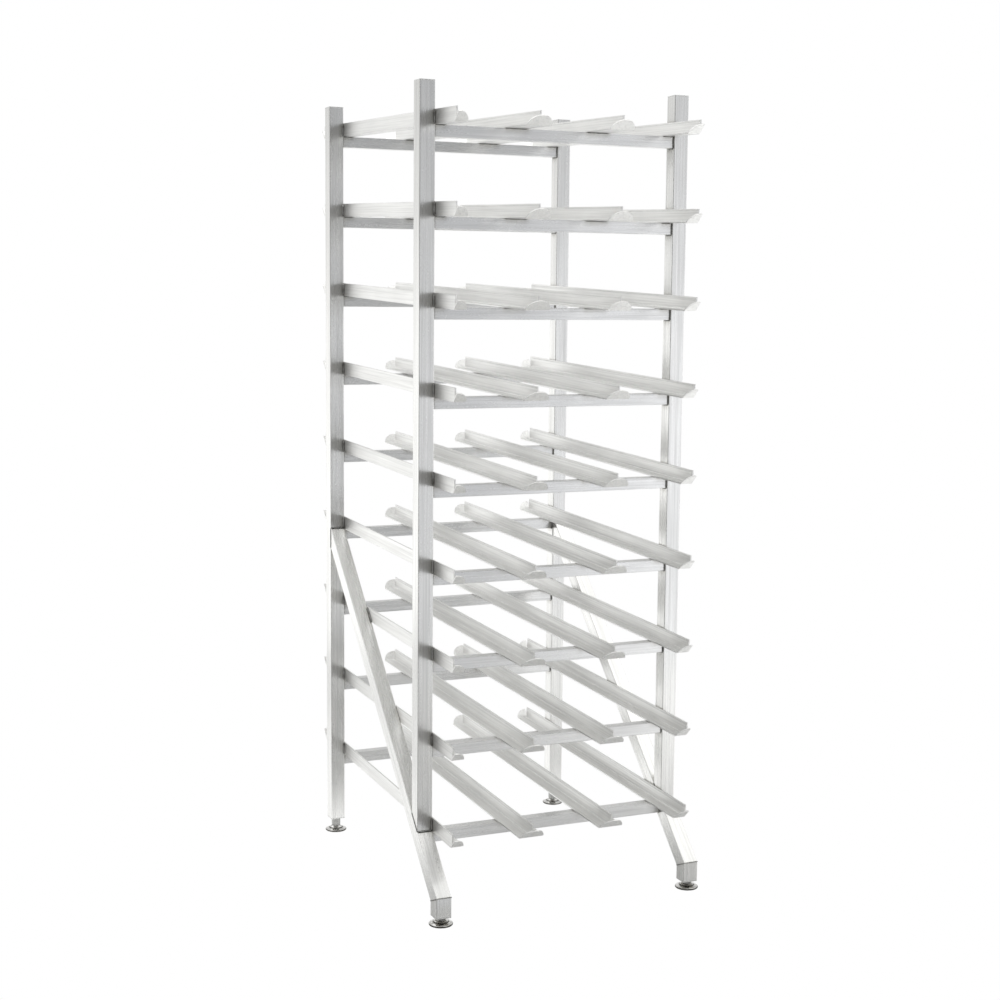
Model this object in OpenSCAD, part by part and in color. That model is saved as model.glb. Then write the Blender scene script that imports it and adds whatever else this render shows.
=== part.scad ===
// Stationary gravity-feed can rack: a welded square-tube frame that carries
// nine tiers of sloping angle and tee rails, three can lanes to a tier.
// Millimetres. X to the right, Y to the back, Z up. The origin is on the floor
// under the middle of the rack. Cans load at the back and roll to the front.

/* [Frame] */
// Width over the posts
frame_w = 648; // [644:2:700]
// Depth over the posts
frame_d = 635; // [600:1:660]
// Height of the post tops above the floor
frame_h = 1806; // [1795:1:1850]
// Side of the square tube of the posts, braces and legs
tube = 35; // [32:0.5:38]
// Wall of that tube
tube_wall = 2; // [1.5:0.25:3]

/* [Tiers] */
// Height of the lowest front crossbar's top above the floor
first_tier_z = 177; // [170:1:182]
// Height from one tier to the next
tier_pitch = 192.2; // [188:0.1:195]
// Slope of the rails, down to the front
rail_slope = 2.1; // [1:0.1:3]
// Distance between the two dividers of a tier, middle to middle
divider_gap = 196; // [190:1:200]

/* [Rails] */
// Height of a rail, flange included
rail_h = 31; // [28:1:36]
// Thickness of a rail's web and flange
rail_t = 3.2; // [2.5:0.1:4]
// Flange width to one side, from the middle of a tee or the outside of an angle
flange_w = 28.5; // [26:0.5:32]
// How far a rail runs past the posts before its end turns up
overhang = 108; // [90:1:120]
// Angle of the turned-up stop at each end of a rail
stop_angle = 45; // [30:1:60]

/* [Crossbars] */
// Side of the square crossbar tube
bar = 26; // [22:1:28]
// Wall of the crossbar tube
bar_wall = 1.6; // [1:0.1:2.5]

/* [Braces and legs] */
// Lean of the braces from upright
brace_angle = 45; // [44:0.5:46]
// Height at which a brace's upper face meets the rear post
brace_top_z = 779; // [770:1:790]
// How far the front legs stand ahead of the front posts
leg_reach = 115; // [110:1:118]

/* [Levelling feet] */
// Height of the front legs' ends above the floor, feet screwed right in
leg_clearance = 18; // [18:0.5:21]
// How far the rear feet are screwed out
rear_foot_out = 15; // [0:1.5:18]
// Radius of the stepped foot pad
pad_r = 26.5; // [25.5:0.5:28]
// Radius of the foot's screw
stem_r = 5; // [4:0.5:6]

/* [Hidden] */

$fn = 48;
tiers = 9;
big = 3000;
eps = 0.01;

tube_edge_r = 1.2;
bar_edge_r = 0.8;
cap_t = 2;
cap_spigot = 6;
fit_gap = 0.1;

half_w = frame_w / 2;
half_d = frame_d / 2;
inner_w = frame_w - 2 * tube;
post_inner_x = half_w - tube;
bar_recess = (tube - bar) / 2;

rail_fillet = 2;
rail_groove = 0.4;
groove_w = 1;
groove_drop = 4;
bend_r = 3;
bend_mid_r = bend_r + rail_t / 2;
bend_out_r = bend_r + rail_t;
bend_len = bend_mid_r * stop_angle * PI / 180;
stop_r = sqrt(pow(flange_w, 2) + pow(bend_len, 2));
web_past_front = 9;
web_past_rear = 2;
rail_run = (frame_d + 2 * overhang) / cos(rail_slope);
stop_tip_z = rail_t + bend_r - bend_out_r * cos(stop_angle) + (stop_r - bend_len) * sin(stop_angle);
rail_centring = stop_tip_z * sin(rail_slope);

brace_z_at_leg = brace_top_z - (2 * half_d - tube + leg_reach) / tan(brace_angle);
leg_front_y = -half_d - leg_reach;

rear_clearance = leg_clearance + rear_foot_out;
socket_flange = 2;
socket_bore_r = 12;
socket_bore_h = 18.5;
socket_roof = 2;
socket_boss_r = 9;
socket_h = 40;
stem_gap = 0.05;
face_gap = 0.3;
hex_r = 11;
hex_z = 13;
hex_h = 22;
stem_top_z = 71;
pad_bead_r = 2.5;
pad_step_r = 16.5;
pad_step_z = 9.3;
pad_step_edge = 1;
collar_r = 11;
collar_edge_z = 12;
head_r = 7;
head_h = 3;
head_z = 4;
neck_r = 4.2;

// Tier 1 is the top tier.
function tier_z(t) = first_tier_z + (tiers - t) * tier_pitch;
// Height of the rails' underside over a given depth
function rail_z(t, y) = tier_z(t) + (y + half_d - bar_recess) * tan(rail_slope);

function corner_name(c) = ["front_left", "front_right", "rear_left", "rear_right"][c];
function corner_x(c) = (c % 2 == 0 ? -1 : 1) * (half_w - tube / 2);
function corner_y(c) = c < 2 ? leg_front_y + tube / 2 : half_d - tube / 2;
// Height of a leg's end above the floor
function leg_end_z(c) = c < 2 ? leg_clearance : rear_clearance;

module rounded_square(side, r) {
    translate([r, 0]) square([side - 2 * r, side]);
    translate([0, r]) square([side, side - 2 * r]);
    for (x = [r, side - r], y = [r, side - r])
        translate([x, y]) circle(r);
}

module square_tube(side, wall, edge_r, h) {
    linear_extrude(h) difference() {
        rounded_square(side, edge_r);
        translate([wall, wall]) square(side - 2 * wall);
    }
}

// ---- Frame ----

// Everything on the lower side of the brace's upper face
module below_brace_face() {
    translate([-big / 2, half_d - tube, brace_top_z])
        rotate([-brace_angle, 0, 0])
            translate([0, 0, -big / 2])
                cube(big);
}

// Everything above the mitre between a brace and its leg
module above_leg_mitre() {
    translate([-big / 2, leg_front_y, brace_z_at_leg])
        rotate([-brace_angle / 2, 0, 0])
            translate([0, -big / 2, 0])
                cube(big);
}

// A front post stands on its brace, so its foot is cut to the brace's lean.
module front_post(side) {
    color("gainsboro") difference() {
        translate([post_corner_x(side), -half_d, 0])
            square_tube(tube, tube_wall, tube_edge_r, frame_h - cap_t);
        below_brace_face();
    }
}

module rear_post(side) {
    base_z = rear_clearance + socket_flange;
    color("gainsboro")
        translate([post_corner_x(side), half_d - tube, base_z])
            square_tube(tube, tube_wall, tube_edge_r, frame_h - cap_t - base_z);
}

function post_corner_x(side) = side < 0 ? -half_w : post_inner_x;

module post_caps() {
    spigot = tube - 2 * tube_wall - 2 * fit_gap;
    inset = tube_wall + fit_gap;
    color("gainsboro")
        for (side = [-1, 1], y = [-half_d, half_d - tube])
            translate([post_corner_x(side), y, frame_h - cap_t]) {
                linear_extrude(cap_t) rounded_square(tube, tube_edge_r);
                translate([inset, inset, -cap_spigot])
                    cube([spigot, spigot, cap_spigot + eps]);
            }
}

// A brace runs down and forward from the rear post, under the front post,
// to the leg. Its upper end is cut upright and its lower end is mitred.
module brace(side) {
    overrun = 2 * tube;
    run = (2 * half_d - tube + leg_reach) / sin(brace_angle);
    color("gainsboro") difference() {
        translate([post_corner_x(side), half_d - tube, brace_top_z])
            rotate([-brace_angle, 0, 0])
                translate([0, 0, -run - overrun])
                    square_tube(tube, tube_wall, tube_edge_r, run + 2 * overrun);
        translate([-big / 2, half_d - tube, -big / 2]) cube(big);
        mirror_below_mitre();
    }
}

// Everything below the mitre between a brace and its leg
module mirror_below_mitre() {
    translate([-big / 2, leg_front_y, brace_z_at_leg])
        rotate([-brace_angle / 2, 0, 0])
            translate([0, -big / 2, -big])
                cube(big);
}

module front_leg(side) {
    base_z = leg_clearance + socket_flange;
    color("gainsboro") difference() {
        translate([post_corner_x(side), leg_front_y, base_z])
            square_tube(tube, tube_wall, tube_edge_r, brace_z_at_leg - base_z);
        above_leg_mitre();
    }
}

// A crossbar lies between the posts, its upper face under the rails.
module crossbar(y, top_z) {
    translate([-inner_w / 2, y, top_z - bar])
        rotate([90, 0, 90])
            square_tube(bar, bar_wall, bar_edge_r, inner_w);
}

module front_crossbars() {
    y = -half_d + bar_recess;
    color("silver")
        for (t = [1:tiers])
            crossbar(y, tier_z(t));
}

module rear_crossbars() {
    y = half_d - bar_recess - bar;
    color("silver")
        for (t = [1:tiers])
            crossbar(y, rail_z(t, y));
}

// ---- Rails ----

// The concave corner between a web at X = 0 and the flange's top at Y = 0
module fillet() {
    arc_c = rail_fillet * 1.27;
    arc_r = norm([arc_c, arc_c - rail_fillet]);
    difference() {
        translate([-eps, -eps]) square(rail_fillet + eps);
        translate([arc_c, arc_c]) circle(arc_r);
    }
}

// A rail's section, its flange down. A tee has its web in the middle and an
// angle at the outer edge of its flange, with a shallow groove near the top.
module rail_section(tee) {
    web_x = tee ? -rail_t / 2 : 0;
    translate([tee ? -flange_w : 0, 0]) square([tee ? 2 * flange_w : flange_w, rail_t]);
    difference() {
        translate([web_x, 0]) square([rail_t, rail_h]);
        translate([web_x + rail_t - rail_groove, rail_h - groove_drop]) square([1, groove_w]);
        if (tee)
            translate([web_x + rail_groove - 1, rail_h - groove_drop]) square([1, groove_w]);
    }
    translate([web_x + rail_t, rail_t]) fillet();
    if (tee)
        translate([web_x, rail_t]) mirror([1, 0]) fillet();
}

// Side view of a turned-up end: a point of the bend at a radius and an angle
function bend_point(r, a) = [r * sin(a), rail_t + bend_r - r * cos(a)];
bend_steps = 8;
bend_angles = [for (i = [0:bend_steps]) i * stop_angle / bend_steps];

// The turned-up end of a flange: a bend, then a flat stop with a round tip
module stop(tee) {
    tip = (stop_r + 1) * [cos(stop_angle), sin(stop_angle)];
    x = tee ? -flange_w : 0;
    w = tee ? 2 * flange_w : flange_w;
    difference() {
        translate([x, 0, 0]) rotate([90, 0, 90]) linear_extrude(w)
            polygon(concat(
                [for (a = bend_angles) bend_point(bend_out_r, a)],
                [bend_point(bend_out_r, stop_angle) + tip, bend_point(bend_r, stop_angle) + tip],
                [for (i = [0:bend_steps]) bend_point(bend_r, bend_angles[bend_steps - i])]
            ));
        translate([0, bend_point(bend_out_r, stop_angle)[0], bend_point(bend_out_r, stop_angle)[1]])
            rotate([stop_angle, 0, 0])
                difference() {
                    translate([-stop_r - 5, -1, -5]) cube([2 * stop_r + 10, 2 * stop_r, rail_t + 10]);
                    translate([0, -bend_len, -6]) cylinder(r = stop_r, h = rail_t + 12, $fn = 96);
                }
    }
}

// What is cut from the section past the root of a stop, so that the web ends
// on the stop. Drawn for an end at Y = 0 that points to +Y.
module stop_notch(web_past) {
    corner = bend_mid_r * tan(stop_angle / 2);
    reach = web_past + 5;
    translate([-stop_r - 1, 0, 0])
        rotate([90, 0, 90])
            linear_extrude(2 * stop_r + 2)
                polygon([
                    [0, -1],
                    [reach, -1],
                    [reach, rail_t / 2 + (reach - corner) * tan(stop_angle)],
                    [corner, rail_t / 2],
                    [0, rail_t / 2],
                ]);
}

// A rail along +Y, from the root of its front stop at Y = 0
module rail(tee) {
    difference() {
        translate([0, rail_run + web_past_rear, 0])
            rotate([90, 0, 0])
                linear_extrude(rail_run + web_past_rear + web_past_front)
                    rail_section(tee);
        mirror([0, 1, 0]) stop_notch(web_past_front);
        translate([0, rail_run, 0]) stop_notch(web_past_rear);
    }
    mirror([0, 1, 0]) stop(tee);
    translate([0, rail_run, 0]) stop(tee);
}

// Sets a rail down on its tier's crossbars, its stops' tips equally far past
// the frame at the front and the back.
module place_rail(t, x) {
    y = -half_d - overhang + rail_centring;
    translate([x, y, rail_z(t, y)])
        rotate([rail_slope, 0, 0])
            children();
}

// An angle rail: its web lies against the posts, its flange points inward.
module angle_rail(t, side) {
    color("lightgray")
        place_rail(t, side * post_inner_x)
            mirror([side < 0 ? 0 : 1, 0, 0]) rail(false);
}

// A tee rail: its web divides two lanes, its flanges carry the cans of both.
module tee_rail(t, side) {
    color("lightgray")
        place_rail(t, side * divider_gap / 2)
            rail(true);
}

// ---- Levelling feet ----

module place_foot(c) {
    translate([corner_x(c), corner_y(c), 0]) children();
}

// Socket that plugs the end of a leg tube. The foot's hexagon slides up its
// wide bore, and the screw runs in the boss above.
module foot_socket(c) {
    plug = tube - 2 * tube_wall - 2 * fit_gap;
    color("gainsboro") place_foot(c) translate([0, 0, leg_end_z(c)]) difference() {
        union() {
            translate([-tube / 2, -tube / 2, 0])
                linear_extrude(socket_flange) rounded_square(tube, tube_edge_r);
            translate([-plug / 2, -plug / 2, 0]) cube([plug, plug, socket_bore_h + socket_roof]);
            cylinder(r = socket_boss_r, h = socket_h);
        }
        translate([0, 0, -1]) cylinder(r = socket_bore_r, h = socket_bore_h + 1);
        cylinder(r = stem_r + stem_gap, h = socket_h + 1);
    }
}

// The part of a ball through two points [radius, height] that lies above base,
// turned about the height axis
module crown(low, high, base) {
    mid_z = (pow(low[0], 2) - pow(high[0], 2) + pow(low[1], 2) - pow(high[1], 2)) / (2 * (low[1] - high[1]));
    intersection() {
        translate([0, mid_z]) circle(norm([low[0], low[1] - mid_z]), $fn = 240);
        translate([0, base]) square([low[0], high[1] - base]);
    }
}

// Stepped pad that stands on the floor and holds the stem's head: a rolled
// rim, a crowned skirt, a step, and a crown up to the collar
module foot_pad(c) {
    rim_r = pad_r - pad_bead_r;
    collar_top = hex_z - face_gap;
    edge_r = pad_step_r - pad_step_edge;
    color("silver") place_foot(c) rotate_extrude($fn = 96) difference() {
        union() {
            square([rim_r, 2 * pad_bead_r]);
            translate([rim_r, pad_bead_r]) circle(pad_bead_r, $fn = 32);
            crown([rim_r, 2 * pad_bead_r - eps], [pad_step_r, 7.6], pad_bead_r);
            square([pad_step_r, pad_step_z - pad_step_edge]);
            translate([0, pad_step_z - 2 * pad_step_edge]) square([edge_r, 2 * pad_step_edge]);
            translate([edge_r, pad_step_z - pad_step_edge]) circle(pad_step_edge, $fn = 24);
            crown([edge_r, pad_step_z - eps], [collar_r, collar_edge_z], pad_bead_r);
            square([collar_r, collar_top]);
        }
        translate([-eps, head_z - face_gap])
            square([head_r + stem_gap + eps, head_h + 2 * face_gap]);
        translate([-eps, head_z])
            square([neck_r + stem_gap + eps, collar_top]);
        translate([-2 * pad_r, -big]) square([2 * pad_r, 2 * big]);
    }
}

// Stem: a head held in the pad, a neck, the long hexagon that a spanner turns,
// and the screw that runs in the socket's boss
module foot_stem(c) {
    color("gray") place_foot(c) {
        translate([0, 0, head_z]) cylinder(r = head_r, h = head_h);
        translate([0, 0, head_z]) cylinder(r = neck_r, h = hex_z - head_z + eps);
        translate([0, 0, hex_z]) cylinder(r = hex_r, h = hex_h, $fn = 6);
        translate([0, 0, hex_z]) cylinder(r = stem_r, h = stem_top_z - hex_z - 1);
        translate([0, 0, stem_top_z - 1 - eps]) cylinder(r1 = stem_r, r2 = stem_r - 1, h = 1);
    }
}

front_post(-1);  // post_front_left
front_post(1);  // post_front_right
rear_post(-1);  // post_rear_left
rear_post(1);  // post_rear_right
post_caps();
brace(-1);  // brace_left
brace(1);  // brace_right
front_leg(-1);  // front_leg_left
front_leg(1);  // front_leg_right
front_crossbars();
rear_crossbars();
for (c = [0:3]) {
    foot_socket(c);
    foot_pad(c);
    foot_stem(c);
}
for (t = [1:tiers]) {
    angle_rail(t, -1);
    tee_rail(t, -1);
    tee_rail(t, 1);
    angle_rail(t, 1);
}
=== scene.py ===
import math
import random

import bmesh
import bpy
from mathutils import Matrix, Vector


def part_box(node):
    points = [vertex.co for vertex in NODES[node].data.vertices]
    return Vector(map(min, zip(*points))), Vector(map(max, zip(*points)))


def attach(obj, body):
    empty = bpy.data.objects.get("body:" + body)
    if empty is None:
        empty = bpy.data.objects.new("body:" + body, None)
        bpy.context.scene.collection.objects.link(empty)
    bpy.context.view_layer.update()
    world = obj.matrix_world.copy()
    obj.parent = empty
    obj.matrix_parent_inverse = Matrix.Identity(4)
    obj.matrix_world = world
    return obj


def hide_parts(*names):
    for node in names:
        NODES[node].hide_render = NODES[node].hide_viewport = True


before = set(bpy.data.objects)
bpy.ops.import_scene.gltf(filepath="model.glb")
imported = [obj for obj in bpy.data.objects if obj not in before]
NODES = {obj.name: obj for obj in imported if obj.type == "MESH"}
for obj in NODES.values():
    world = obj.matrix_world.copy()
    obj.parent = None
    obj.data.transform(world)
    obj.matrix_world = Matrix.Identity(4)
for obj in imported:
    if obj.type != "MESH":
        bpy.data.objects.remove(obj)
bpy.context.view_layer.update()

# ---------------------------------------------------------------- dimensions

MM = 0.001
TIERS = 9
SLOPE = math.radians(2.1)
CORNERS = ("front_left", "front_right", "rear_left", "rear_right")

post_lo, post_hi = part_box("post_front_left")
_, rear_post_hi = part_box("post_rear_left")
_, brace_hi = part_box("brace_left")
leg_lo, leg_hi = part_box("front_leg_left")
TUBE = post_hi.x - post_lo.x
HALF_W = -post_lo.x
INNER_X = -post_hi.x
FRONT_Y = post_lo.y
REAR_Y = rear_post_hi.y

RAIL_H = 31 * MM


# ---------------------------------------------------------------- node helpers

def node(tree, kind, inputs=None, **settings):
    """Adds a shader node, sets its properties and fills or links its inputs."""
    made = tree.nodes.new(kind)
    for key, value in settings.items():
        setattr(made, key, value)
    for key, value in (inputs or {}).items():
        if isinstance(value, bpy.types.NodeSocket):
            tree.links.new(value, made.inputs[key])
        else:
            made.inputs[key].default_value = value
    return made


def math_node(tree, operation, a, b=0.0, clamp=False):
    return node(tree, "ShaderNodeMath", {0: a, 1: b}, operation=operation, use_clamp=clamp).outputs[0]


def remap(tree, value, low, high, to_low=0.0, to_high=1.0, smooth=False):
    made = node(
        tree, "ShaderNodeMapRange",
        {"Value": value, "From Min": low, "From Max": high, "To Min": to_low, "To Max": to_high},
        interpolation_type="SMOOTHSTEP" if smooth else "LINEAR",
    )
    return made.outputs["Result"]


def mix_colour(tree, factor, a, b):
    made = node(tree, "ShaderNodeMix", data_type="RGBA")
    for socket, value in ((made.inputs[0], factor), (made.inputs[6], a), (made.inputs[7], b)):
        if isinstance(value, bpy.types.NodeSocket):
            tree.links.new(value, socket)
        else:
            socket.default_value = value
    return made.outputs[2]


def noise(tree, vector, scale, detail=3.0, roughness=0.5):
    made = node(
        tree, "ShaderNodeTexNoise",
        {"Vector": vector, "Scale": scale, "Detail": detail, "Roughness": roughness},
    )
    return made.outputs["Fac"]


def new_material(name):
    material = bpy.data.materials.new(name)
    material.use_nodes = True
    tree = material.node_tree
    tree.nodes.clear()
    shader = tree.nodes.new("ShaderNodeBsdfPrincipled")
    out = tree.nodes.new("ShaderNodeOutputMaterial")
    tree.links.new(shader.outputs["BSDF"], out.inputs["Surface"])
    return material, tree, shader


def grain_space(tree, turn, stretch):
    """Object coordinates turned so that Z runs along the grain, then squeezed along it."""
    place = node(tree, "ShaderNodeTexCoord").outputs["Object"]
    turned = node(tree, "ShaderNodeMapping", {"Vector": place, "Rotation": turn}, vector_type="TEXTURE")
    return node(
        tree, "ShaderNodeMapping", {"Vector": turned.outputs[0], "Scale": (1.0, 1.0, stretch)}
    ).outputs[0]


def edge_mask(tree, radius):
    """1 on sharp edges and 0 on flats, with the softened normal of those edges."""
    soft = node(tree, "ShaderNodeBevel", {"Radius": radius}, samples=4).outputs["Normal"]
    hard = node(tree, "ShaderNodeNewGeometry").outputs["Normal"]
    same = node(tree, "ShaderNodeVectorMath", {0: soft, 1: hard}, operation="DOT_PRODUCT").outputs["Value"]
    return remap(tree, same, 0.98, 0.75), soft


# ---------------------------------------------------------------- materials

# Colour and reach of the painted shade, tinted like soot, that darkens the aluminium's corners
SOOT_AND_SHADE = (0.27, 0.255, 0.21, 1.0)
SOOT_AND_SHADE_REACH = 16 * MM


def aluminium(
    name, turn, across, tone=(0.89, 0.89, 0.875), roughness=0.27, edge=1.4 * MM, spread=0.65, soot_and_shade=0.75
):
    """Mill-finish extruded aluminium: lines along the grain, clouded, scratched, with soot and painted shade
    darkening its corners beside its welds.

    turn turns the grain to Z, across is the direction that reflections spread in, by spread,
    edge is the width of the edges darkened by painted shade, and the last argument is how dark the soot and
    painted shade in the corners are.
    """
    material, tree, shader = new_material(name)
    place = node(tree, "ShaderNodeTexCoord").outputs["Object"]
    fine = noise(tree, grain_space(tree, turn, 0.006), 1300.0, 2.0, 0.6)
    broad = noise(tree, grain_space(tree, turn, 0.012), 300.0, 3.0, 0.6)
    bands = noise(tree, grain_space(tree, turn, 0.05), 60.0, 2.0, 0.5)
    clouds = noise(tree, place, 5.0, 3.0, 0.5)
    spots = noise(tree, place, 140.0, 3.0, 0.7)
    scratches = scratch_mask(tree)
    edges, soft_normal = edge_mask(tree, edge)

    dull = tuple(0.80 * c for c in tone) + (1.0,)
    clean = tuple(min(1.0, 1.02 * c) for c in tone) + (1.0,)
    dark = tuple(0.45 * c for c in tone) + (1.0,)
    colour = mix_colour(tree, remap(tree, clouds, 0.35, 0.65, 0.35, 0.0), clean, dull)
    colour = mix_colour(tree, remap(tree, broad, 0.42, 0.70, 0.0, 0.80), colour, dull)
    colour = mix_colour(tree, remap(tree, fine, 0.45, 0.75, 0.0, 0.55), colour, dull)
    # painted shade: the edges are darkened along their width
    colour = mix_colour(tree, math_node(tree, "MULTIPLY", edges, 0.85), colour, dark)
    # painted shade: corners are darkened towards a soot tint by how closed-in they are, in patches
    if soot_and_shade:
        openness = node(tree, "ShaderNodeAmbientOcclusion", {"Distance": SOOT_AND_SHADE_REACH}, samples=4).outputs["AO"]
        patchy = remap(tree, spots, 0.25, 0.6, 0.6, 1.0)
        soot_and_shade_mask = math_node(tree, "MULTIPLY", remap(tree, openness, 0.90, 0.55), patchy)
        colour = mix_colour(tree, math_node(tree, "MULTIPLY", soot_and_shade_mask, soot_and_shade), colour, SOOT_AND_SHADE)
    tree.links.new(colour, shader.inputs["Base Color"])

    gloss = remap(tree, broad, 0.3, 0.7, roughness - 0.04, roughness + 0.04)
    gloss = math_node(tree, "ADD", gloss, remap(tree, bands, 0.3, 0.7, -0.03, 0.04))
    gloss = math_node(tree, "ADD", gloss, remap(tree, spots, 0.55, 0.8, 0.0, 0.05))
    gloss = math_node(tree, "SUBTRACT", gloss, math_node(tree, "MULTIPLY", edges, 0.05), clamp=True)
    tree.links.new(gloss, shader.inputs["Roughness"])

    height = math_node(tree, "ADD", math_node(tree, "MULTIPLY", fine, 0.4), broad)
    height = math_node(tree, "ADD", height, math_node(tree, "MULTIPLY", bands, 2.0))
    height = math_node(tree, "SUBTRACT", height, math_node(tree, "MULTIPLY", scratches, 0.8))
    bump = node(
        tree, "ShaderNodeBump",
        {"Height": height, "Normal": soft_normal, "Strength": 0.10, "Distance": 0.25 * MM},
    )
    tree.links.new(bump.outputs[0], shader.inputs["Normal"])
    tangent = node(tree, "ShaderNodeCombineXYZ", {"X": across[0], "Y": across[1], "Z": across[2]})
    tree.links.new(tangent.outputs[0], shader.inputs["Tangent"])
    shader.inputs["Anisotropic"].default_value = spread
    shader.inputs["Metallic"].default_value = 1.0
    return material


def scratch_mask(tree):
    """A few long thin scratches at two slants."""
    place = node(tree, "ShaderNodeTexCoord").outputs["Object"]
    total = 0.0
    for slant in ((0.5, 0.9, 0.3), (1.1, -0.6, 2.0)):
        turned = node(
            tree, "ShaderNodeMapping", {"Vector": place, "Rotation": slant, "Scale": (30.0, 30.0, 1.2)}
        )
        lines = noise(tree, turned.outputs[0], 22.0, 1.0, 0.5)
        near = math_node(tree, "ABSOLUTE", math_node(tree, "SUBTRACT", lines, 0.5))
        where = remap(tree, noise(tree, place, 16.0, 2.0), 0.56, 0.66)
        line = math_node(tree, "MULTIPLY", remap(tree, near, 0.006, 0.0), where)
        total = math_node(tree, "ADD", line, total)
    return total


def weld_metal():
    """Bright weld bead with patches of soot, and painted shade greying its valleys."""
    material, tree, shader = new_material("weld_metal")
    place = node(tree, "ShaderNodeTexCoord").outputs["Object"]
    mottle = noise(tree, place, 420.0, 4.0, 0.65)
    cloud = noise(tree, place, 60.0, 2.0)
    grey, bright = (0.15, 0.147, 0.138, 1.0), (0.50, 0.50, 0.49, 1.0)
    colour = mix_colour(tree, remap(tree, mottle, 0.3, 0.7), grey, bright)
    colour = mix_colour(tree, remap(tree, cloud, 0.45, 0.7, 0.0, 0.8), colour, (0.09, 0.086, 0.078, 1.0))
    # painted shade: the bead's valleys are darkened by how closed-in they are
    crevice = node(tree, "ShaderNodeAmbientOcclusion", {"Distance": 5 * MM}, samples=4).outputs["AO"]
    colour = mix_colour(tree, remap(tree, crevice, 0.85, 0.45), colour, (0.05, 0.048, 0.043, 1.0))
    tree.links.new(colour, shader.inputs["Base Color"])
    tree.links.new(remap(tree, mottle, 0.3, 0.7, 0.42, 0.26), shader.inputs["Roughness"])
    bump = node(tree, "ShaderNodeBump", {"Height": mottle, "Strength": 0.35, "Distance": 0.2 * MM})
    tree.links.new(bump.outputs[0], shader.inputs["Normal"])
    shader.inputs["Metallic"].default_value = 1.0
    return material


STEP_R = 0.645


def chrome_plate(corner):
    """Polished plate with smudges and small pits, with painted shade and reflection darkening its neck, step
    and rim.
    """
    material, tree, shader = new_material("chrome_plate_" + corner)
    place = node(tree, "ShaderNodeTexCoord").outputs["Object"]
    lo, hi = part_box("foot_pad_" + corner)
    pad_r = (hi.x - lo.x) / 2
    middle = ((lo.x + hi.x) / 2, (lo.y + hi.y) / 2, 0.0)
    from_middle = node(tree, "ShaderNodeVectorMath", {0: place, 1: middle}, operation="SUBTRACT").outputs[0]
    flat = node(
        tree, "ShaderNodeVectorMath", {0: from_middle, 1: (1.0, 1.0, 0.0)}, operation="MULTIPLY"
    ).outputs[0]
    radius = node(tree, "ShaderNodeVectorMath", {0: flat}, operation="LENGTH").outputs["Value"]
    smudges = noise(tree, place, 70.0, 4.0, 0.6)
    pits = noise(tree, place, 900.0, 2.0, 0.5)
    edges, soft_normal = edge_mask(tree, 0.6 * MM)
    clean, smudged = (0.90, 0.895, 0.88, 1.0), (0.72, 0.71, 0.69, 1.0)
    colour = mix_colour(tree, remap(tree, smudges, 0.4, 0.75), clean, smudged)
    colour = mix_colour(tree, math_node(tree, "MULTIPLY", edges, 0.5), colour, (0.85, 0.85, 0.85, 1.0))
    # painted shade and reflection: dark rings at the rim, the step and the neck, by distance from the axis
    rim = remap(tree, radius, 0.95 * pad_r, 0.985 * pad_r)
    off_step = math_node(tree, "ABSOLUTE", math_node(tree, "SUBTRACT", radius, STEP_R * pad_r))
    step = remap(tree, off_step, 0.055 * pad_r, 0.025 * pad_r)
    neck = remap(tree, radius, 0.38 * pad_r, 0.32 * pad_r)
    painted_dark_rings = math_node(tree, "MAXIMUM", math_node(tree, "MAXIMUM", rim, step), neck)
    painted_dark_rings = math_node(tree, "MULTIPLY", painted_dark_rings, remap(tree, smudges, 0.2, 0.6, 0.75, 1.0))
    colour = mix_colour(tree, painted_dark_rings, colour, (0.07, 0.066, 0.055, 1.0))
    tree.links.new(colour, shader.inputs["Base Color"])
    tree.links.new(remap(tree, smudges, 0.35, 0.75, 0.07, 0.22), shader.inputs["Roughness"])
    bump = node(
        tree, "ShaderNodeBump",
        {"Height": pits, "Normal": soft_normal, "Strength": 0.08, "Distance": 0.1 * MM},
    )
    tree.links.new(bump.outputs[0], shader.inputs["Normal"])
    shader.inputs["Metallic"].default_value = 1.0
    return material


def stem_steel():
    """Dark zinc-plated steel, mottled and worn bright on its corners."""
    material, tree, shader = new_material("stem_steel")
    place = node(tree, "ShaderNodeTexCoord").outputs["Object"]
    mottle = noise(tree, place, 260.0, 4.0, 0.6)
    edges, soft_normal = edge_mask(tree, 0.5 * MM)
    dark, light = (0.30, 0.30, 0.29, 1.0), (0.46, 0.46, 0.45, 1.0)
    colour = mix_colour(tree, remap(tree, mottle, 0.35, 0.7), dark, light)
    colour = mix_colour(tree, math_node(tree, "MULTIPLY", edges, 0.7), colour, (0.70, 0.70, 0.69, 1.0))
    tree.links.new(colour, shader.inputs["Base Color"])
    tree.links.new(remap(tree, mottle, 0.3, 0.7, 0.24, 0.40), shader.inputs["Roughness"])
    bump = node(
        tree, "ShaderNodeBump",
        {"Height": mottle, "Normal": soft_normal, "Strength": 0.12, "Distance": 0.1 * MM},
    )
    tree.links.new(bump.outputs[0], shader.inputs["Normal"])
    shader.inputs["Metallic"].default_value = 1.0
    return material


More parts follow.
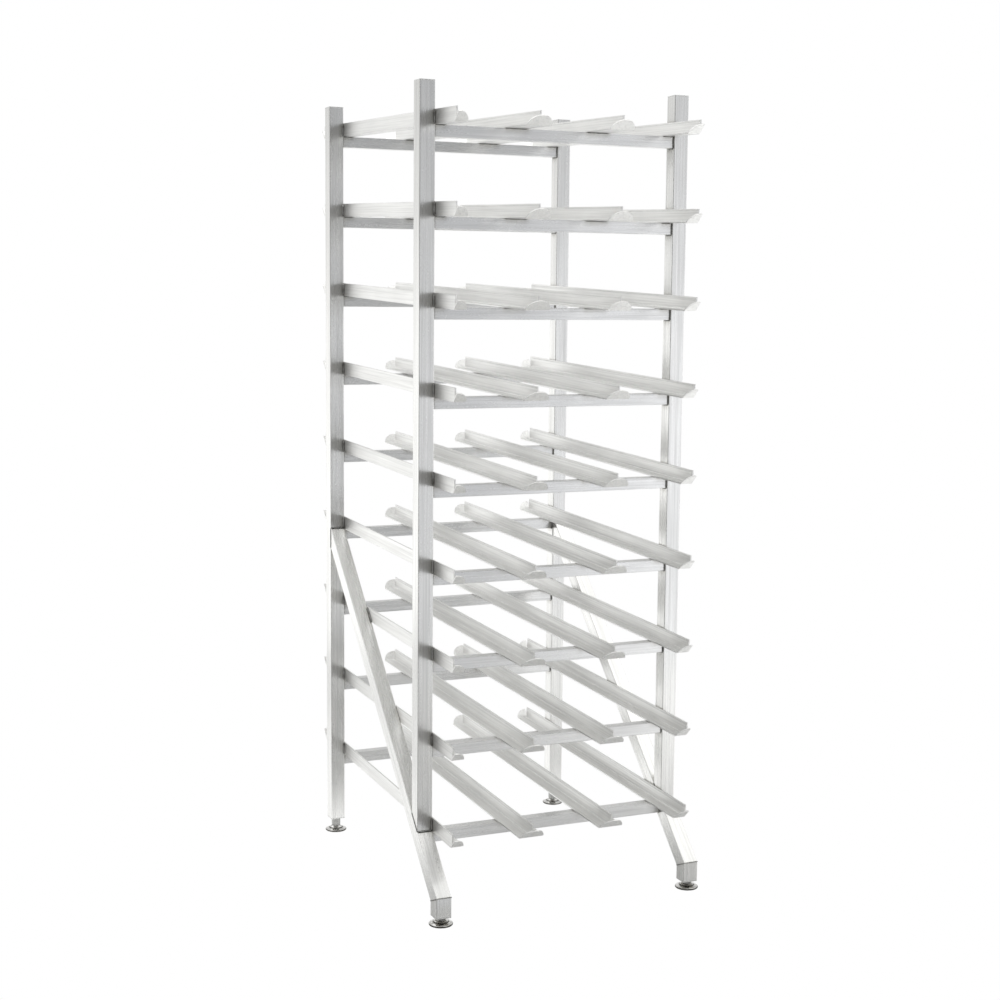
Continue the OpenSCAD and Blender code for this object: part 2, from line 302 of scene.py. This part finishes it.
def pale_floor():
    """Pale matt floor that the rack mirrors; the camera sees the background's white through it."""
    material, tree, shader = new_material("pale_floor")
    place = node(tree, "ShaderNodeTexCoord").outputs["Object"]
    cloud = noise(tree, place, 1.5, 3.0)
    colour = mix_colour(tree, cloud, (0.72, 0.72, 0.715, 1.0), (0.77, 0.77, 0.765, 1.0))
    tree.links.new(colour, shader.inputs["Base Color"])
    shader.inputs["Roughness"].default_value = 0.9
    shader.inputs["Specular IOR Level"].default_value = 0.1
    # its painted glow by place, an emission though the floor is no lamp: brighter to the right in front of
    # the rack, and behind it
    at = node(tree, "ShaderNodeSeparateXYZ", {"Vector": place}).outputs
    ahead = remap(tree, at["X"], 0.3, 1.0, 0.04, 0.58, smooth=True)
    behind = remap(tree, at["X"], -0.95, -0.45, 0.24, 0.58, smooth=True)
    side = remap(tree, at["Y"], -0.3, 0.3, smooth=True)
    glow = node(tree, "ShaderNodeMix", {0: side, 2: ahead, 3: behind}, data_type="FLOAT").outputs[0]
    painted_floor_glow = node(tree, "ShaderNodeEmission", {"Color": (1, 1, 1, 1), "Strength": glow})
    lit = node(tree, "ShaderNodeAddShader", {0: shader.outputs[0], 1: painted_floor_glow.outputs[0]})
    clear = node(tree, "ShaderNodeBsdfTransparent")
    seen = node(tree, "ShaderNodeLightPath").outputs["Is Camera Ray"]
    shown = node(tree, "ShaderNodeMixShader", {0: seen, 1: lit.outputs[0], 2: clear.outputs[0]})
    out = next(n for n in tree.nodes if n.type == "OUTPUT_MATERIAL")
    tree.links.new(shown.outputs[0], out.inputs["Surface"])
    return material


ALONG_Z = (0.0, 0.0, 0.0)
ALONG_X = (0.0, math.radians(90), 0.0)
ALONG_RAIL = (math.radians(-90) + SLOPE, 0.0, 0.0)
ALONG_BRACE = (math.radians(-45), 0.0, 0.0)

# The brace's and the rails' lighter tones than the posts' are painted light, raised to make those parts read
# brighter.
post_metal = aluminium("post_aluminium", ALONG_Z, (0.7, 0.7, 0.0))
brace_metal = aluminium("brace_aluminium", ALONG_BRACE, (0.7, -0.5, 0.5), tone=(0.93, 0.93, 0.915))
bar_metal = aluminium("crossbar_aluminium", ALONG_X, (0.0, 0.7, 0.7), tone=(0.86, 0.86, 0.855))
rail_metal = aluminium(
    "rail_aluminium", ALONG_RAIL, (0.7, 0.0, 0.7),
    tone=(0.965, 0.965, 0.95), roughness=0.46, edge=0.9 * MM, spread=0.15, soot_and_shade=0.0,
)
chrome = {corner: chrome_plate(corner) for corner in CORNERS}
steel = stem_steel()
weld = weld_metal()


def dress(name, material):
    slots = NODES[name].data.materials
    slots.clear()
    slots.append(material)


for name in NODES:
    if name.startswith(("rail_", "divider_")):
        dress(name, rail_metal)
    elif name.endswith("crossbars"):
        dress(name, bar_metal)
    elif name.startswith("brace"):
        dress(name, brace_metal)
    elif name.startswith("foot_pad"):
        dress(name, chrome[name.removeprefix("foot_pad_")])
    elif name.startswith("foot_stem"):
        dress(name, steel)
    else:
        dress(name, post_metal)


# ---------------------------------------------------------------- meshes

def piece_from(bm, name, material, body):
    """Turns a bmesh into a smooth object that rides on a body."""
    bmesh.ops.recalc_face_normals(bm, faces=bm.faces)
    mesh = bpy.data.meshes.new(name)
    bm.to_mesh(mesh)
    bm.free()
    for polygon in mesh.polygons:
        polygon.use_smooth = True
    mesh.materials.append(material)
    made = bpy.data.objects.new(name, mesh)
    bpy.context.scene.collection.objects.link(made)
    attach(made, body)
    return made


def skin(bm, rings):
    """Joins closed rings of points into a tube with closed ends."""
    loops = [[bm.verts.new(p) for p in ring] for ring in rings]
    count = len(loops[0])
    for a, b in zip(loops, loops[1:]):
        for i in range(count):
            j = (i + 1) % count
            bm.faces.new((a[i], a[j], b[j], b[i]))
    bm.faces.new(loops[0][::-1])
    bm.faces.new(loops[-1])


BEAD_STEPS = 4
BEAD_ARC = 6
BAR_BEAD = 2.4 * MM
RAIL_BEAD = 2.2 * MM
WEB_BEAD = 4.2 * MM
BRACE_BEAD = 2.6 * MM
SEAM_BEAD = 1.3 * MM
GAP = 1 * MM


def bead(bm, start, end, side_a, side_b, size, rng):
    """A rippled fillet weld from start to end, in the corner of two faces along side_a and side_b."""
    start, end = Vector(start), Vector(end)
    side_a, side_b = Vector(side_a).normalized(), Vector(side_b).normalized()
    length = (end - start).length
    ripple = 0.9 * size
    count = max(8, int(length / ripple) * BEAD_STEPS)
    sink = -0.25 * size * (side_a + side_b)
    drift = rng.uniform(0.0, 6.28)
    along = (end - start).normalized()
    rings = []
    for i in range(count + 1):
        t = i / count
        phase = t * length / ripple
        lap = 1.0 - (phase % 1.0)
        swell = 1.0 + 0.10 * lap ** 2 + 0.05 * math.sin(3.1 * phase + drift)
        from_end = min(t, 1.0 - t) * length / (1.3 * size)
        taper = math.sqrt(max(0.04, 1.0 - (1.0 - min(1.0, from_end)) ** 2))
        reach = size * swell * taper
        centre = start.lerp(end, t)
        ring = [centre + sink]
        for j in range(BEAD_ARC + 1):
            angle = math.pi / 2 * j / BEAD_ARC
            bulge = 0.80 + 0.20 * abs(math.cos(2 * angle))
            lag = along * (-0.35 * size * math.sin(2 * angle) * taper)
            ring.append(
                centre + reach * bulge * (side_a * math.cos(angle) + side_b * math.sin(angle)) + lag
            )
        rings.append(ring)
    skin(bm, rings)


def rail_bottom(name, y):
    """Height of a rail's underside at a depth."""
    lo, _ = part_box(name)
    return lo.z + (y - lo.y) * math.tan(SLOPE)


def crossbar_welds(rng):
    """Beads round each crossbar's ends on the posts, and under each rail at its front and back."""
    inset = 3 * MM
    bars = bmesh.new()
    rails = bmesh.new()
    for which in ("front", "rear"):
        lo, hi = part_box(which + "_crossbars")
        depth = hi.y - lo.y
        pitch = (hi.z - lo.z - depth) / (TIERS - 1)
        for tier in range(TIERS):
            top = lo.z + depth + tier * pitch
            bottom = top - depth
            for side in (-1, 1):
                wall = Vector((-side, 0, 0))
                x = side * INNER_X
                foot, head = bottom + 1.5 * MM, top - 1.5 * MM
                bead(bars, (x, lo.y, foot), (x, lo.y, head), wall, AHEAD, BAR_BEAD, rng)
                bead(bars, (x, hi.y, foot), (x, hi.y, head), wall, BEHIND, BAR_BEAD, rng)
                bead(bars, (x, lo.y + GAP, bottom), (x, hi.y - GAP, bottom), wall, DOWN, BAR_BEAD, rng)
            for kind in ("rail_left", "divider_left", "divider_right", "rail_right"):
                a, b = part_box(f"{kind}_{TIERS - tier}")
                for y, away, gap in ((lo.y, AHEAD, 0.0), (hi.y, BEHIND, depth * math.tan(SLOPE))):
                    z = top + gap * 0.5
                    size = RAIL_BEAD + gap * 0.5
                    bead(rails, (a.x + inset, y, z), (b.x - inset, y, z), away, DOWN, size, rng)
    piece_from(bars, "crossbar_welds", weld, "rack")
    piece_from(rails, "rail_welds", weld, "rack")


def post_welds(rng):
    """Beads where an angle rail's web lies against a post, front and back, and against a brace."""
    posts = bmesh.new()
    for tier in range(1, TIERS + 1):
        for kind, side in (("rail_left", -1), ("rail_right", 1)):
            name = f"{kind}_{tier}"
            x = side * INNER_X
            out = Vector((side, 0, 0))
            for y, away in (
                (FRONT_Y, AHEAD), (FRONT_Y + TUBE, BEHIND), (REAR_Y - TUBE, AHEAD), (REAR_Y, BEHIND)
            ):
                z = rail_bottom(name, y)
                bead(posts, (x, y, z + GAP), (x, y, z + RAIL_H - GAP), out, away, WEB_BEAD, rng)
            for drop, away in ((0.0, BRACE_FACE), (TUBE * math.sqrt(2), -BRACE_FACE)):
                y = REAR_Y - TUBE - (brace_hi.z - drop - rail_bottom(name, 0.0))
                z = rail_bottom(name, y)
                if FRONT_Y + TUBE < y and y + RAIL_H < REAR_Y - TUBE:
                    end = (x, y + RAIL_H, z + RAIL_H)
                    bead(posts, (x, y, z + GAP), end, out, away, BRACE_BEAD, rng)
    piece_from(posts, "post_welds", weld, "rack")


def brace_welds(rng):
    """Beads at each brace's upper end, under the front post and at the leg's mitre."""
    joints = bmesh.new()
    mitre_y, mitre_z = leg_lo.y, leg_hi.z
    mitre_drop = TUBE * math.tan(math.radians(22.5))
    for side in (-1, 1):
        outer, inner = side * HALF_W, side * INNER_X
        near, far = inner + side * GAP, outer - side * GAP
        # a brace's upper end on the rear post
        y = brace_hi.y
        top, bottom = brace_hi.z, brace_hi.z - TUBE * math.sqrt(2)
        bead(joints, (near, y, top), (far, y, top), UP, AHEAD, BRACE_BEAD, rng)
        bead(joints, (near, y, bottom), (far, y, bottom), DOWN, AHEAD, 3.0 * MM, rng)
        # a front post's foot on the brace
        foot = post_lo.z
        back_y, back_z = FRONT_Y + TUBE, foot + TUBE
        bead(joints, (near, FRONT_Y, foot), (far, FRONT_Y, foot), AHEAD, UP, BRACE_BEAD, rng)
        bead(joints, (near, back_y, back_z), (far, back_y, back_z), BEHIND, UP, BRACE_BEAD, rng)
        # the mitre between the brace and its leg
        low = mitre_z - mitre_drop
        bead(joints, (near, mitre_y, mitre_z), (far, mitre_y, mitre_z), AHEAD, UP, 1.5 * MM, rng)
        bead(joints, (near, mitre_y + TUBE, low), (far, mitre_y + TUBE, low), BEHIND, DOWN, 2.4 * MM, rng)
        # low beads along the seams on both sides
        for x, out in ((outer, Vector((side, 0, 0))), (inner, Vector((-side, 0, 0)))):
            for a, b, across in (
                ((y, bottom), (y, top), AHEAD),
                ((FRONT_Y, foot), (back_y, back_z), BRACE_FACE),
                ((mitre_y, mitre_z), (mitre_y + TUBE, low), UP),
            ):
                bead(joints, (x,) + a, (x,) + b, out, across, SEAM_BEAD, rng)
                bead(joints, (x,) + a, (x,) + b, out, -across, SEAM_BEAD, rng)
    piece_from(joints, "brace_welds", weld, "rack")


UP, DOWN = Vector((0, 0, 1)), Vector((0, 0, -1))
AHEAD, BEHIND = Vector((0, -1, 0)), Vector((0, 1, 0))
BRACE_FACE = Vector((0, -1, 1)).normalized()
weld_rng = random.Random(7)
crossbar_welds(weld_rng)
post_welds(weld_rng)
brace_welds(weld_rng)


# ---------------------------------------------------------------- foot screws

THREAD_PITCH = 1.5 * MM
CREST_R, ROOT_R = 5 * MM, 4.1 * MM
HEXAGON_H = 22 * MM
HEAD_R, HEAD_H, NECK_R = 7 * MM, 3 * MM, 4.2 * MM
ROUNDING = 0.3 * MM
SCREW_SIDES = 48


def hexagon_radius(angle, flats):
    """Distance from a hexagon's centre to its side at an angle."""
    return flats / 2 / math.cos((angle + math.pi / 6) % (math.pi / 3) - math.pi / 6)


def around(centre, radius, angle, z):
    return centre + Vector((radius * math.cos(angle), radius * math.sin(angle), z))


def circle(centre, radius, z):
    return [around(centre, radius, 2 * math.pi * i / SCREW_SIDES, z) for i in range(SCREW_SIDES)]


def foot_stem(corner):
    """The foot's screw: its head and neck, the chamfered hexagon and the thread."""
    lo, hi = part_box("foot_stem_" + corner)
    _, pad_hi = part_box("foot_pad_" + corner)
    centre = Vector(((lo.x + hi.x) / 2, (lo.y + hi.y) / 2, 0.0))
    flats = hi.y - lo.y
    chamfer_r = 0.47 * flats
    chamfer_slope = math.tan(math.radians(30))
    head_top = lo.z + HEAD_H
    hex_lo = pad_hi.z + ROUNDING
    hex_hi = hex_lo + HEXAGON_H
    angles = [2 * math.pi * i / SCREW_SIDES for i in range(SCREW_SIDES)]
    rings = [
        circle(centre, HEAD_R - ROUNDING, lo.z),
        circle(centre, HEAD_R, lo.z + ROUNDING),
        circle(centre, HEAD_R, head_top),
        circle(centre, NECK_R, head_top),
        circle(centre, NECK_R, hex_lo),
        circle(centre, chamfer_r, hex_lo),
    ]
    for z, sign in ((hex_lo, 1), (hex_hi, -1)):
        ring = []
        for angle in angles:
            radius = hexagon_radius(angle, flats)
            rise = sign * chamfer_slope * (radius - chamfer_r)
            ring.append(around(centre, radius, angle, z + rise))
        rings.append(ring)
    rings.append(circle(centre, chamfer_r, hex_hi))
    rings.append(circle(centre, ROOT_R, hex_hi))
    step = THREAD_PITCH / 6
    steps = int((hi.z - 1 * MM - hex_hi) / step)
    for k in range(1, steps + 1):
        z = hex_hi + k * step
        lead = min(1.0, (k - 1) / 4, (steps - k) / 4)
        ring = []
        for i, angle in enumerate(angles):
            phase = ((z - hex_hi) / THREAD_PITCH - i / SCREW_SIDES) % 1.0
            flank = min(1.0, max(0.0, 1.6 * (1.0 - abs(2.0 * phase - 1.0)) - 0.2))
            ring.append(around(centre, ROOT_R + (CREST_R - ROOT_R) * flank * lead, angle, z))
        rings.append(ring)
    rings.append(circle(centre, ROOT_R - 0.8 * MM, hi.z))
    bm = bmesh.new()
    skin(bm, rings)
    made = piece_from(bm, "foot_screw_" + corner, steel, "stem_" + corner)
    made.data.set_sharp_from_angle(angle=math.radians(35))
    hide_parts("foot_stem_" + corner)


for corner in CORNERS:
    foot_stem(corner)


# ---------------------------------------------------------------- studio

FLOOR_HALF = 2.4
FLOOR_CELLS = 96
OPENING_WAY = Vector((-0.5, -0.866, 0.0))
OPENING_FROM = 0.6
OPENING_COS = 0.885


def in_opening(at):
    return at.length > OPENING_FROM and at.normalized().dot(OPENING_WAY) > OPENING_COS


def floor():
    """Pale floor with an opening to the front left, where the rack mirrors the dark room instead."""
    bm = bmesh.new()
    bmesh.ops.create_grid(bm, x_segments=FLOOR_CELLS, y_segments=FLOOR_CELLS, size=FLOOR_HALF)
    opening = [face for face in bm.faces if in_opening(face.calc_center_median())]
    bmesh.ops.delete(bm, geom=opening, context="FACES")
    mesh = bpy.data.meshes.new("studio_floor")
    bm.to_mesh(mesh)
    bm.free()
    mesh.materials.append(pale_floor())
    made = bpy.data.objects.new("studio_floor", mesh)
    bpy.context.scene.collection.objects.link(made)


ROOM_GREY = (0.84, 0.84, 0.84, 1)
# A direction, the angles in degrees from it where its colour begins and is full, and the colour
ROOM = (
    ((-0.34, 0.94, -0.08), 60, 8, (1.28, 1.28, 1.27)),
    ((0.38, 0.88, 0.22), 34, 10, (1.25, 1.25, 1.24)),
    ((0.26, -0.96, 0.0), 40, 12, (0.63, 0.64, 0.66)),
    ((0.76, -0.64, -0.02), 28, 19, (1.42, 1.43, 1.46)),
    ((-0.50, -0.86, -0.2), 48, 22, (0.15, 0.147, 0.14)),
)


def soft_light(name, at, towards, size, power):
    data = bpy.data.lights.new(name, "AREA")
    data.shape = "RECTANGLE"
    data.size, data.size_y = size
    data.energy = power
    made = bpy.data.objects.new(name, data)
    made.location = at
    made.rotation_mode = "QUATERNION"
    made.rotation_quaternion = (Vector(towards) - Vector(at)).to_track_quat("-Z", "Y")
    bpy.context.scene.collection.objects.link(made)


def studio_world():
    """White to the camera; to everything else a pale room, dark to the front left and dimmer overhead."""
    world = bpy.data.worlds.new("studio")
    bpy.context.scene.world = world
    world.use_nodes = True
    tree = world.node_tree
    tree.nodes.clear()
    way = node(tree, "ShaderNodeTexCoord").outputs["Generated"]

    def towards(direction, low, high):
        """0 to 1 as a direction comes nearer; low and high are angles from it in degrees."""
        unit = Vector(direction).normalized()
        same = node(tree, "ShaderNodeVectorMath", {0: way, 1: unit}, operation="DOT_PRODUCT").outputs["Value"]
        return remap(tree, same, math.cos(math.radians(low)), math.cos(math.radians(high)), smooth=True)

    room = ROOM_GREY
    for direction, low, high, colour in ROOM:
        room = mix_colour(tree, towards(direction, low, high), room, colour + (1,))
    height = node(tree, "ShaderNodeSeparateXYZ", {"Vector": way}).outputs["Z"]
    dimming = remap(tree, height, -0.08, 0.16, 0.0, 0.42, smooth=True)
    room = mix_colour(tree, dimming, room, (0, 0, 0, 1))
    lamp = towards((0.62, -0.12, 0.78), 30, 6)
    room = mix_colour(tree, lamp, room, (1.5, 1.5, 1.48, 1))
    lit = node(tree, "ShaderNodeBackground", {"Color": room, "Strength": 1.0})
    plain = node(tree, "ShaderNodeBackground", {"Color": (1, 1, 1, 1), "Strength": 1.0})
    seen = node(tree, "ShaderNodeLightPath").outputs["Is Camera Ray"]
    both = node(tree, "ShaderNodeMixShader", {0: seen, 1: lit.outputs[0], 2: plain.outputs[0]})
    node(tree, "ShaderNodeOutputWorld", {"Surface": both.outputs[0]})


def camera():
    """The photo's camera, found by fitting it to the rack's drawn edges."""
    yaw, pitch, roll = math.radians(24.006), math.radians(-6.851), math.radians(0.519)
    ahead = Vector((math.sin(yaw) * math.cos(pitch), math.cos(yaw) * math.cos(pitch), math.sin(pitch)))
    right = Vector((math.cos(yaw), -math.sin(yaw), 0.0))
    above = right.cross(ahead)
    right_rolled = right * math.cos(roll) + above * math.sin(roll)
    above_rolled = above * math.cos(roll) - right * math.sin(roll)
    data = bpy.data.cameras.new("camera")
    data.sensor_width = 36.0
    data.lens = 61.03
    data.clip_end = 60.0
    made = bpy.data.objects.new("camera", data)
    turn = Matrix((right_rolled, above_rolled, -ahead)).transposed().to_4x4()
    made.matrix_world = Matrix.Translation((-1.6386, -3.7014, 1.3548)) @ turn
    bpy.context.scene.collection.objects.link(made)
    bpy.context.scene.camera = made


floor()
studio_world()
soft_light("overhead", (-0.9, 0.5, 3.8), (0, 0, 0.9), (5.0, 5.0), 62)
camera()
bpy.context.scene.view_settings.view_transform = "Standard"
